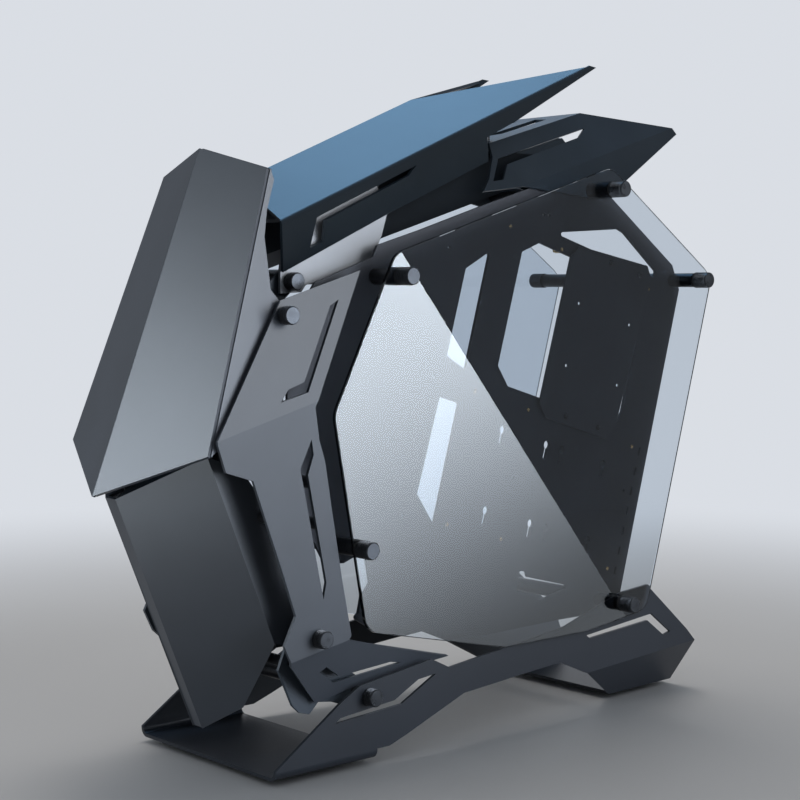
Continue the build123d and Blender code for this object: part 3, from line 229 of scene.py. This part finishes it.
def map_range(tree, value, source, target):
    """Carries a value from one range onto another."""
    node = tree.nodes.new("ShaderNodeMapRange")
    node.inputs["From Min"].default_value, node.inputs["From Max"].default_value = source
    node.inputs["To Min"].default_value, node.inputs["To Max"].default_value = target
    tree.links.new(value, node.inputs["Value"])
    return node


def smooth_range(tree, value, source, target=(0.0, 1.0)):
    """Carries a value onto another range with a soft start and a soft end."""
    node = map_range(tree, value, source, target)
    node.interpolation_type = "SMOOTHSTEP"
    return node.outputs["Result"]


def spread(tree, value, low, high):
    """Carries a texture's middle range onto the range from low to high."""
    return map_range(tree, value, (NOISE_LOW, NOISE_HIGH), (low, high)).outputs["Result"]


def shades(tree, value, dark, light):
    """Blends two colours by a texture."""
    node = tree.nodes.new("ShaderNodeValToRGB")
    node.color_ramp.elements[0].position = NOISE_LOW
    node.color_ramp.elements[1].position = NOISE_HIGH
    node.color_ramp.elements[0].color = (*dark, 1.0)
    node.color_ramp.elements[1].color = (*light, 1.0)
    tree.links.new(value, node.inputs["Fac"])
    return node.outputs["Color"]


def scaled(color, share):
    return [share * part for part in color]


def bump(tree, shader, value, distance, strength):
    node = tree.nodes.new("ShaderNodeBump")
    node.inputs["Strength"].default_value = strength
    node.inputs["Distance"].default_value = distance
    tree.links.new(value, node.inputs["Height"])
    tree.links.new(node.outputs["Normal"], shader.inputs["Normal"])


def coated_steel(name, color, roughness, specular=0.4):
    """Sheet with a fine satin powder coat: a grain of a few tenths of a millimetre."""
    material, tree, shader, place = new_material(name)
    clouds = noise(tree, place, COAT_CLOUDS, 3.0)
    grain = noise(tree, place, COAT_GRAIN, 2.0, 0.6)
    coat = shades(tree, clouds, scaled(color, 0.9), scaled(color, 1.1))
    tree.links.new(coat, shader.inputs["Base Color"])
    low, high = roughness - COAT_ROUGHNESS_SPREAD, roughness + COAT_ROUGHNESS_SPREAD
    tree.links.new(spread(tree, grain, low, high), shader.inputs["Roughness"])
    shader.inputs["Specular IOR Level"].default_value = specular
    bump(tree, shader, grain, COAT_RELIEF, COAT_RELIEF_STRENGTH)
    return material


def anodised(name, color, roughness=0.32, metallic=0.55):
    """Turned aluminium with a dark anodised skin and fine turning marks."""
    material, tree, shader, place = new_material(name)
    clouds = noise(tree, place, SKIN_CLOUDS, 3.0)
    skin = shades(tree, clouds, scaled(color, 0.8), scaled(color, 1.2))
    tree.links.new(skin, shader.inputs["Base Color"])
    stretch = tree.nodes.new("ShaderNodeMapping")
    stretch.inputs["Scale"].default_value = TURNING_STRETCH
    tree.links.new(place, stretch.inputs["Vector"])
    marks = noise(tree, stretch.outputs["Vector"], TURNING_MARKS, 2.0)
    low, high = roughness - SKIN_ROUGHNESS_SPREAD, roughness + SKIN_ROUGHNESS_SPREAD
    tree.links.new(spread(tree, marks, low, high), shader.inputs["Roughness"])
    shader.inputs["Metallic"].default_value = metallic
    bump(tree, shader, marks, TURNING_RELIEF, 0.3)
    return material


def rubber(name, color):
    material, tree, shader, place = new_material(name)
    grain = noise(tree, place, RUBBER_GRAIN, 4.0, 0.7)
    surface = shades(tree, grain, scaled(color, 0.8), scaled(color, 1.25))
    tree.links.new(surface, shader.inputs["Base Color"])
    tree.links.new(spread(tree, grain, 0.7, 0.9), shader.inputs["Roughness"])
    bump(tree, shader, grain, RUBBER_RELIEF, 0.4)
    return material


def bare_brass(name, color):
    material, tree, shader, place = new_material(name)
    marks = noise(tree, place, BRASS_MARKS, 3.0)
    surface = shades(tree, marks, scaled(color, 0.85), color)
    tree.links.new(surface, shader.inputs["Base Color"])
    tree.links.new(spread(tree, marks, 0.2, 0.34), shader.inputs["Roughness"])
    shader.inputs["Metallic"].default_value = 1.0
    bump(tree, shader, marks, BRASS_RELIEF, 0.3)
    return material


def tempered_glass(name, color):
    """Clear glass with a faint grey-blue tint."""
    material, tree, shader, place = new_material(name)
    clouds = noise(tree, place, GLASS_CLOUDS, 2.0)
    tint = shades(tree, clouds, scaled(color, 0.985), color)
    tree.links.new(tint, shader.inputs["Base Color"])
    shader.inputs["Roughness"].default_value = 0.0
    shader.inputs["Transmission Weight"].default_value = 1.0
    shader.inputs["IOR"].default_value = GLASS_IOR
    return material


knob_material = anodised("knob_anodise", KNOB_BLACK, 0.3, 0.8)
LOOKS = {
    "front_panels": (
        coated_steel("front_panel_coat", SATIN_BLACK, 0.38, 0.78),
        ["upper_front_panel", "lower_front_panel"],
    ),
    "panel_carrier": (coated_steel("carrier_coat", SATIN_PALE, 0.42, 0.6), ["panel_carrier"]),
    # The cover's coat carries painted blue light.
    "top_cover": (coated_steel("cover_coat_painted_blue", SATIN_COVER_PAINTED_BLUE, 0.34, 0.45), ["top_cover"]),
    "top_bracket": (coated_steel("bracket_coat", BRACKET_PALE, 0.44, 0.6), ["top_bracket"]),
    # The wing's coat carries painted blue light and a painted lightening.
    "rear_wing": (coated_steel("wing_coat_painted_light", SATIN_WING_PAINTED_LIGHT, 0.38, 0.3), ["rear_wing"]),
    "side_plates": (
        coated_steel("side_plate_coat", SATIN_BLACK, 0.42, 0.38),
        ["right_side_plate", "left_side_plate"],
    ),
    "base_frame": (coated_steel("base_coat", SATIN_DEEP, 0.36, 0.32), ["base_frame"]),
    "motherboard_tray": (coated_steel("tray_coat", SATIN_TRAY, 0.46, 0.15), ["motherboard_tray"]),
    "drive_plate": (coated_steel("drive_plate_coat", SATIN_TRAY, 0.44, 0.2), ["drive_plate"]),
    "inner_brackets": (
        coated_steel("inner_bracket_coat", INNER_BLACK, 0.46, 0.35),
        [
            "foot_links",
            "rod_links",
            "fan_bracket",
            "top_rails",
            "expansion_bracket",
            "psu_bracket",
        ],
    ),
    "slot_covers": (coated_steel("slot_cover_coat", INNER_BLACK, 0.46), ["slot_covers"]),
    "glass": (tempered_glass("tempered_glass", GLASS_TINT), ["right_glass", "left_glass"]),
    "posts": (
        anodised("post_anodise", POST_BLACK),
        ["right_glass_posts", "left_glass_posts", "cross_rods", "stay_bar"],
    ),
    "knobs": (knob_material, ["glass_knobs", "frame_knobs"]),
    "hardware": (
        anodised("spacer_anodise", SPACER_BLACK),
        ["drive_plate_spacers", "tray_spacers", "panel_spacers", "cover_posts"],
    ),
    "standoffs": (bare_brass("bare_brass", BRASS_YELLOW), ["motherboard_standoffs"]),
    "washers": (rubber("washer_rubber", WASHER_BLACK), ["glass_washers"]),
    "rubber": (rubber("foot_rubber", FOOT_BLACK), ["rubber_feet"]),
}
UNBROKEN = {"glass", "standoffs", "washers", "rubber"}


def dress(node, material, broken):
    """Gives a CAD node its material, and where it is cut sheet a broken edge and flat faces."""
    piece = nodes[node]
    piece.data.materials.clear()
    piece.data.materials.append(material)
    if broken:
        weld = piece.modifiers.new("weld", "WELD")
        weld.merge_threshold = WELD_DISTANCE
        bevel = piece.modifiers.new("edge_break", "BEVEL")
        bevel.width = EDGE_BREAK
        bevel.segments = EDGE_STEPS
        bevel.limit_method = "ANGLE"
        bevel.angle_limit = EDGE_ANGLE
        bevel.harden_normals = True
        flat = piece.modifiers.new("flat_faces", "WEIGHTED_NORMAL")
        flat.mode = "FACE_AREA"
        flat.weight = FLAT_FACE_WEIGHT
        flat.keep_sharp = True


def board_point(x, p, q):
    """A place on the leaning board plane: p to the rear, q upwards, in metres."""
    cosine, sine = math.cos(BODY_TILT), math.sin(BODY_TILT)
    return Vector((x, BOARD_Y + p * cosine + q * sine, BOARD_Z - p * sine + q * cosine))


def hexagon_radius(angle, flats):
    """How far a hexagon reaches at an angle."""
    sector = (angle + math.pi / 6) % (math.pi / 3) - math.pi / 6
    return flats / 2 / math.cos(sector)


def close_band(mesh, lower, upper):
    """Joins two rings of vertices by a band of faces."""
    steps = len(lower)
    for step in range(steps):
        after = (step + 1) % steps
        mesh.faces.new((lower[step], lower[after], upper[after], upper[step]))


def make_piece(name, mesh, material):
    """Makes a piece of its own from closed bands and caps, and gives it its material."""
    bmesh.ops.recalc_face_normals(mesh, faces=mesh.faces)
    data = bpy.data.meshes.new(name)
    mesh.to_mesh(data)
    mesh.free()
    data.set_sharp_from_angle(angle=EDGE_ANGLE)
    piece = bpy.data.objects.new(name, data)
    bpy.context.scene.collection.objects.link(piece)
    data.materials.append(material)
    return piece


def screw_heads(name, places, axis):
    """Screw heads seated at the places, pointing along the axis, as one piece."""
    mesh = bmesh.new()
    turn = Vector(axis).to_track_quat("Z", "Y").to_matrix().to_4x4()
    profile = [
        (SCREW_RADIUS, 0.0),
        (SCREW_RADIUS, 0.12 * SCREW_HEIGHT),
        (0.96 * SCREW_RADIUS, 0.34 * SCREW_HEIGHT),
        (0.84 * SCREW_RADIUS, 0.66 * SCREW_HEIGHT),
        (0.68 * SCREW_RADIUS, 0.9 * SCREW_HEIGHT),
        (0.52 * SCREW_RADIUS, SCREW_HEIGHT),
    ]
    angles = [2 * math.pi * step / SCREW_STEPS for step in range(SCREW_STEPS)]
    rings = [[point] * SCREW_STEPS for point in profile]
    for height in (SCREW_HEIGHT, SCREW_HEIGHT - SOCKET_DEPTH):
        rings.append([(hexagon_radius(angle, SOCKET_FLATS), height) for angle in angles])
    for place in places:
        where = Matrix.Translation(place) @ turn
        made = []
        for ring in rings:
            points = [
                Vector((radius * math.cos(angle), radius * math.sin(angle), height))
                for (radius, height), angle in zip(ring, angles)
            ]
            made.append([mesh.verts.new(where @ point) for point in points])
        for lower, upper in zip(made, made[1:]):
            close_band(mesh, lower, upper)
        mesh.faces.new(made[-1])
        mesh.faces.new(made[0][::-1])
    piece = make_piece(name, mesh, screw_material)
    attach(piece, "root")


def knob_end(node, y, z):
    """How far along X the knob at a fixing reaches."""
    return max(
        vertex.co.x
        for vertex in nodes[node].data.vertices
        if math.hypot(vertex.co.y - y, vertex.co.z - z) < KNOB_REACH
    )


def knob_ridges(name, node, places, length):
    """Ridges round every knob of a node, on both sides of the case, as one piece."""
    mesh = bmesh.new()
    profile = [(0.3, RIDGE_FOOT), (0.42, RIDGE_HEIGHT), (0.58, RIDGE_HEIGHT), (0.7, RIDGE_FOOT)]
    angles = [2 * math.pi * step / RIDGE_STEPS for step in range(RIDGE_STEPS)]
    count = int(length / RIDGE_PITCH) - PLAIN_RIDGES
    for y, z in places:
        end = knob_end(node, y, z)
        for side in (1, -1):
            for index in range(1, count + 1):
                rings = []
                for share, height in profile:
                    x = side * (end - length + (index + share) * RIDGE_PITCH)
                    radius = KNOB_RADIUS + height
                    points = [
                        (x, y + radius * math.cos(angle), z + radius * math.sin(angle))
                        for angle in angles
                    ]
                    rings.append([mesh.verts.new(point) for point in points])
                for lower, upper in zip(rings, rings[1:] + rings[:1]):
                    close_band(mesh, lower, upper)
    piece = make_piece(name, mesh, knob_material)
    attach(piece, "root")


def seen_by_eye(tree):
    """One for rays from the camera, from gloss and through glass, else nought."""
    rays = tree.nodes.new("ShaderNodeLightPath")
    share = rays.outputs["Is Camera Ray"]
    for kind in ("Is Glossy Ray", "Is Transmission Ray"):
        either = tree.nodes.new("ShaderNodeMath")
        either.operation = "MAXIMUM"
        tree.links.new(share, either.inputs[0])
        tree.links.new(rays.outputs[kind], either.inputs[1])
        share = either.outputs["Value"]
    return share


def wall_and_room(tree, direction):
    """Full strength, but in gloss only towards the wall, and the room's share elsewhere."""
    unit = tree.nodes.new("ShaderNodeVectorMath")
    unit.operation = "NORMALIZE"
    tree.links.new(direction, unit.inputs[0])
    towards = tree.nodes.new("ShaderNodeVectorMath")
    towards.operation = "DOT_PRODUCT"
    towards.inputs[1].default_value = WALL_DIRECTION
    tree.links.new(unit.outputs["Vector"], towards.inputs[0])
    wall = smooth_range(
        tree, towards.outputs["Value"], (WALL_START, WALL_FULL), (ROOM_SHARE, 1.0)
    )
    rays = tree.nodes.new("ShaderNodeLightPath")
    choice = tree.nodes.new("ShaderNodeMix")
    choice.data_type = "FLOAT"
    tree.links.new(rays.outputs["Is Glossy Ray"], choice.inputs["Factor"])
    choice.inputs["A"].default_value = 1.0
    tree.links.new(wall, choice.inputs["B"])
    return choice.outputs["Result"]


def fade_to_background(tree, shader, place):
    """Far from the case the floor takes on the colour of the background."""
    away = tree.nodes.new("ShaderNodeVectorMath")
    away.operation = "LENGTH"
    tree.links.new(place, away.inputs[0])
    fade = smooth_range(tree, away.outputs["Value"], (FADE_START, FADE_END))
    share = tree.nodes.new("ShaderNodeMath")
    share.operation = "MULTIPLY"
    tree.links.new(fade, share.inputs[0])
    tree.links.new(seen_by_eye(tree), share.inputs[1])
    glow = tree.nodes.new("ShaderNodeEmission")
    glow.inputs["Color"].default_value = SEEN_COLOR
    tree.links.new(wall_and_room(tree, place), glow.inputs["Strength"])
    mix = tree.nodes.new("ShaderNodeMixShader")
    tree.links.new(share.outputs["Value"], mix.inputs["Fac"])
    tree.links.new(shader.outputs["BSDF"], mix.inputs[1])
    tree.links.new(glow.outputs["Emission"], mix.inputs[2])
    tree.links.new(mix.outputs["Shader"], tree.nodes["Material Output"].inputs["Surface"])


def make_floor():
    """A wide pale floor."""
    half = FLOOR_HALF
    data = bpy.data.meshes.new("floor")
    data.from_pydata(
        [(-half, -half, 0), (half, -half, 0), (half, half, 0), (-half, half, 0)],
        [],
        [(0, 1, 2, 3)],
    )
    floor = bpy.data.objects.new("floor", data)
    bpy.context.scene.collection.objects.link(floor)
    material, tree, shader, place = new_material("floor_paint")
    clouds = noise(tree, place, FLOOR_CLOUDS, 2.0)
    tree.links.new(shades(tree, clouds, FLOOR_DARK, FLOOR_LIGHT), shader.inputs["Base Color"])
    shader.inputs["Roughness"].default_value = FLOOR_ROUGHNESS
    fade_to_background(tree, shader, place)
    data.materials.append(material)


def make_world():
    """The background that the eye, gloss and glass see, and a softer light from all round."""
    world = bpy.data.worlds.new("studio")
    bpy.context.scene.world = world
    world.use_nodes = True
    tree = world.node_tree
    seen = tree.nodes["Background"]
    seen.inputs["Color"].default_value = SEEN_COLOR
    place = tree.nodes.new("ShaderNodeTexCoord")
    tree.links.new(wall_and_room(tree, place.outputs["Generated"]), seen.inputs["Strength"])
    fill = tree.nodes.new("ShaderNodeBackground")
    fill.inputs["Color"].default_value = FILL_COLOR
    fill.inputs["Strength"].default_value = FILL_STRENGTH
    mix = tree.nodes.new("ShaderNodeMixShader")
    tree.links.new(seen_by_eye(tree), mix.inputs["Fac"])
    tree.links.new(fill.outputs["Background"], mix.inputs[1])
    tree.links.new(seen.outputs["Background"], mix.inputs[2])
    tree.links.new(mix.outputs["Shader"], tree.nodes["World Output"].inputs["Surface"])


def softbox(name, centre, across, facing, members):
    """A rectangular soft light that reaches the members alone.

    Across is the direction of its long side, and facing is where it shines.
    """
    size, radiance, color = SOFT_LIGHTS[name]
    data = bpy.data.lights.new(name, "AREA")
    data.shape = "RECTANGLE"
    data.size, data.size_y = size
    data.energy = radiance * math.pi * size[0] * size[1]
    data.color = color
    light = bpy.data.objects.new(name, data)
    back = -Vector(facing).normalized()
    side = Vector(across)
    side = (side - side.dot(back) * back).normalized()
    up = back.cross(side)
    turn = Matrix((side, up, back)).transposed().to_4x4()
    light.matrix_world = Matrix.Translation(centre) @ turn
    light.visible_camera = False
    light.visible_transmission = False
    bpy.context.scene.collection.objects.link(light)
    reached = bpy.data.collections.new(f"{name}_reaches")
    for member in members:
        reached.objects.link(member)
    light.light_linking.receiver_collection = reached
    return light


def fade_along(light, fade):
    """From the fade's start to its end the light falls along its width to the share left."""
    start, end, share_left = fade
    light.data.use_nodes = True
    tree = light.data.node_tree
    place = tree.nodes.new("ShaderNodeNewGeometry")
    split = tree.nodes.new("ShaderNodeSeparateXYZ")
    tree.links.new(place.outputs["Parametric"], split.inputs["Vector"])
    fall = smooth_range(tree, split.outputs["X"], (start, end), (1.0, share_left))
    tree.links.new(fall, tree.nodes["Emission"].inputs["Strength"])


def side_place(distance, centre):
    """A place on the upright plane at a distance before the right glass."""
    along, height = centre
    place = GLASS_MIDDLE + distance * SIDE_AWAY
    return place + SIDE_LEVEL * (along - SIDE_LEVEL.dot(place)) + Vector((0, 0, height))


def make_side_lights(case):
    """The lights before the right side, which stand upright and shine on the case."""
    shaded = {nodes[node].name for node in SHADED_NODES}
    beside = [piece for piece in case if piece.name not in shaded]
    edge = (EDGE_ALONG * SIDE_LEVEL + Vector((0, 0, EDGE_DROP))).normalized()

    # This one lights the side plates, and fades towards the floor.
    centre = side_place(SIDE_DISTANCE, SIDE_CENTRE)
    fade_along(softbox("side_light", centre, edge, -SIDE_AWAY, beside), SIDE_FADE)

    # The glass mirrors the slanted edge of a light of its own, which fades in the same way.
    centre = side_place(GLASS_LIGHT_DISTANCE, GLASS_LIGHT_CENTRE)
    glass_light = softbox("glass_light", centre, edge, -SIDE_AWAY, [nodes["right_glass"]])
    fade_along(glass_light, GLASS_LIGHT_FADE)

    # The light tab of the top bracket mirrors the upper one.
    centre = side_place(SIDE_DISTANCE, UPPER_SIDE_CENTRE)
    softbox("upper_side_light", centre, SIDE_LEVEL, -SIDE_AWAY, beside)


def make_lights():
    shown = [piece for piece in bpy.context.scene.objects if piece.type == "MESH"]
    case = [piece for piece in shown if piece.name != "floor"]
    make_side_lights(case)

    # The roof of the top cover mirrors the overhead light.
    overhead = ROOF_PLACE + OVERHEAD_OFFSET
    softbox("overhead_light", overhead, (1, 0, 0), ROOF_PLACE - overhead, case)

    # A plain one in the same place gives the floor the case's shadow.
    floor = bpy.data.objects["floor"]
    softbox("floor_light", overhead, (1, 0, 0), ROOF_PLACE - overhead, [floor])

    # The lower half of the upper front panel mirrors the front light.
    front = FRONT_PANEL_PLACE + FRONT_OFFSET
    softbox("front_light", front, (0, 0, 1), FRONT_PANEL_PLACE - front, case)

    # A small one before the front foot lights the lower front panel from below.
    softbox("low_front_light", LOW_FRONT_PLACE, (1, 0, 0), (0, 0, 1), case)


for slot, (material, members) in LOOKS.items():
    for node in members:
        dress(node, material, slot not in UNBROKEN)

screw_material = anodised("screw_black", SCREW_BLACK, 0.28)
screw_heads(
    "drive_plate_screws",
    [board_point(DRIVE_PLATE_FACE, p, q) for p, q in DRIVE_SPACERS],
    (1, 0, 0),
)
screw_heads(
    "slot_cover_screws",
    [
        board_point(SLOT_SCREW_X, SLOT_COVER_FACE, SLOT_FIRST_Q - index * SLOT_PITCH)
        for index in range(SLOT_COUNT)
    ],
    (0, math.cos(BODY_TILT), -math.sin(BODY_TILT)),
)
knob_ridges(
    "glass_knob_ridges",
    "glass_knobs",
    [tuple(board_point(0, p, q))[1:] for p, q in GLASS_FIXINGS],
    GLASS_KNOB_LENGTH,
)
knob_ridges("frame_knob_ridges", "frame_knobs", FRAME_FIXINGS, FRAME_KNOB_LENGTH)

make_camera()
make_floor()
make_world()
make_lights()

settings = bpy.context.scene.view_settings
settings.view_transform = "Standard"
